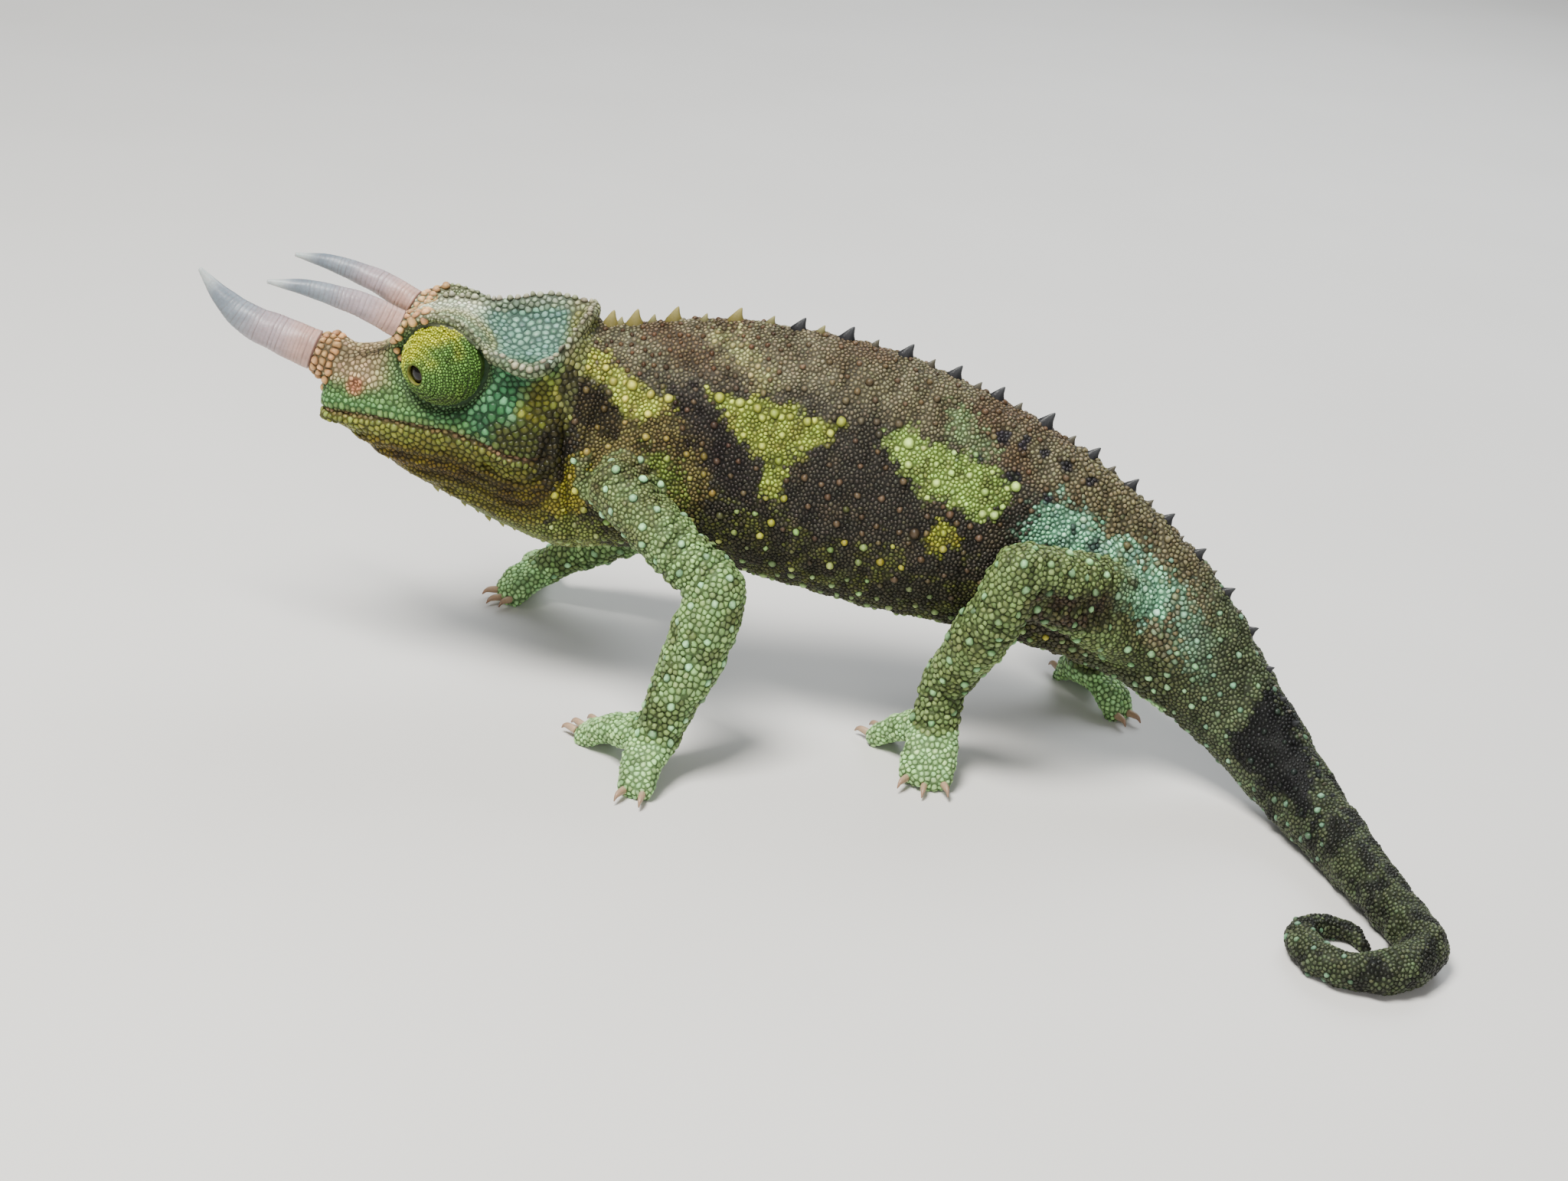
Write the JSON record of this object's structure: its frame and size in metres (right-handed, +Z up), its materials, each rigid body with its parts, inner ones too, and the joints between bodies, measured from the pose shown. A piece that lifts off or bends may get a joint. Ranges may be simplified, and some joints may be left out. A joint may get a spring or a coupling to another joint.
{
  "type": "chameleon figure",
  "caption": "Three-horned chameleon standing on all fours with head low, casque and turret eyes, gripping feet, and tail curled flat on the floor.",
  "frame": {"origin": "centre of the footprint's box, on the floor", "axes": "+Z up, -X the way the head faces, -Y the animal's left side, which the picture shows"},
  "size_m": [0.1242, 0.0702, 0.0425],
  "materials": {
    "head_skin": "green plates with a pale rim to the casque",
    "jaw_skin": "ochre and yellow-green scales",
    "neck_skin": "brown and yellow-green granules",
    "torso_skin": "charcoal granules with yellow-green patches",
    "tail_skin": "olive granules with dark bands",
    "leg_skin": "light green round scales",
    "eyelid": "yellow-green with fine rings",
    "eye": "wet gloss",
    "horn": "pink base, blue-grey middle and pale tip, with fine rings"
  },
  "bodies": {
    "root": {"head": "head_skin", "lower_jaw": "jaw_skin", "neck": "neck_skin", "torso": "torso_skin", "tail_base": "tail_skin", "tail_middle": "tail_skin", "tail_end": "tail_skin", "tail_tip": "tail_skin", "fore_left_upper": "leg_skin", "fore_left_lower": "leg_skin", "fore_left_foot": "leg_skin", "fore_right_upper": "leg_skin", "fore_right_lower": "leg_skin", "fore_right_foot": "leg_skin", "hind_left_upper": "leg_skin", "hind_left_lower": "leg_skin", "hind_left_foot": "leg_skin", "hind_right_upper": "leg_skin", "hind_right_lower": "leg_skin", "hind_right_foot": "leg_skin", "eyelid_left": "eyelid", "eyelid_right": "eyelid", "eye_left": "eye", "eye_right": "eye", "horn_rostral": "horn", "horn_left": "horn", "horn_right": "horn"}
  },
  "joints": []
}
